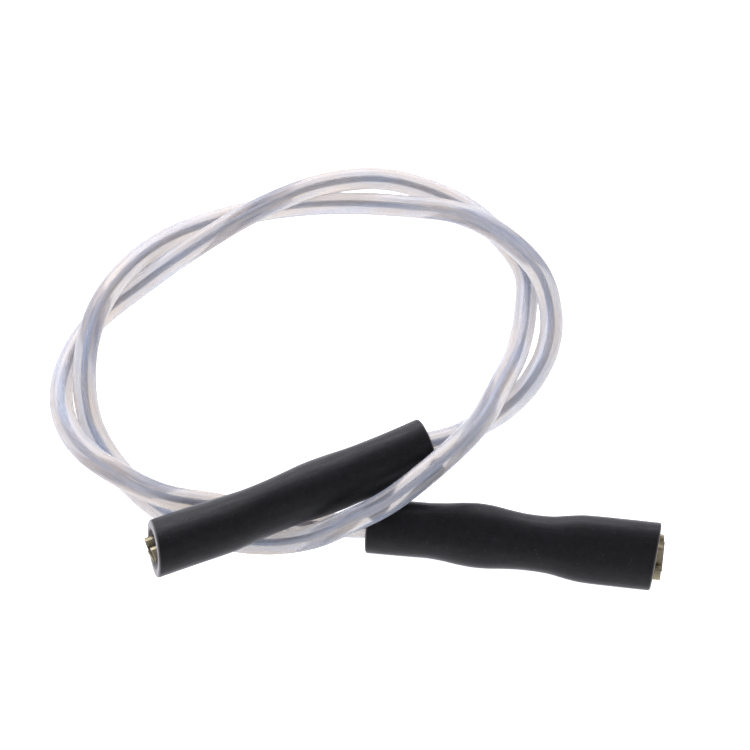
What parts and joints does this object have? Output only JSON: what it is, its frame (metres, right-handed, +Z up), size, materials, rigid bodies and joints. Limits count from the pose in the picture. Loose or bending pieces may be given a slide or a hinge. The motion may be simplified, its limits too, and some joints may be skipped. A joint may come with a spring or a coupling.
{
  "type": "high-voltage ignition lead",
  "caption": "Silicone-insulated ignition lead in two loose turns, with a brass push-on receptacle in a black rubber sleeve on each end.",
  "frame": {"origin": "bottom centre of the two sleeved ends' bounding box, on the surface the lead lies on", "axes": "+X from the left sleeved end towards the right one, +Y towards the far side of the turns, +Z up"},
  "size_m": [0.1046, 0.0957, 0.0177],
  "materials": {
    "silicone": "milky translucent silicone, satin",
    "tinned_copper": "fine twisted strands of tinned copper, seen blue-grey through the silicone",
    "black_rubber": "soft black rubber, satin, with paler cut ends",
    "brass": "dull stamped brass"
  },
  "bodies": {
    "lead": {"lead_insulation": "silicone", "lead_conductor": "tinned_copper", "left_receptacle": "brass", "right_receptacle": "brass"},
    "left_sleeve": {"left_sleeve": "black_rubber"},
    "right_sleeve": {"right_sleeve": "black_rubber"}
  },
  "joints": [
    {"name": "left_sleeve_slide", "type": "slide", "parent": "lead", "child": "left_sleeve", "axis": [-0.9196, -0.3854, -0.0767], "range_m": [0, 0.006]},
    {"name": "right_sleeve_slide", "type": "slide", "parent": "lead", "child": "right_sleeve", "axis": [0.9902, -0.1392, 0.007], "range_m": [0, 0.006]}
  ]
}
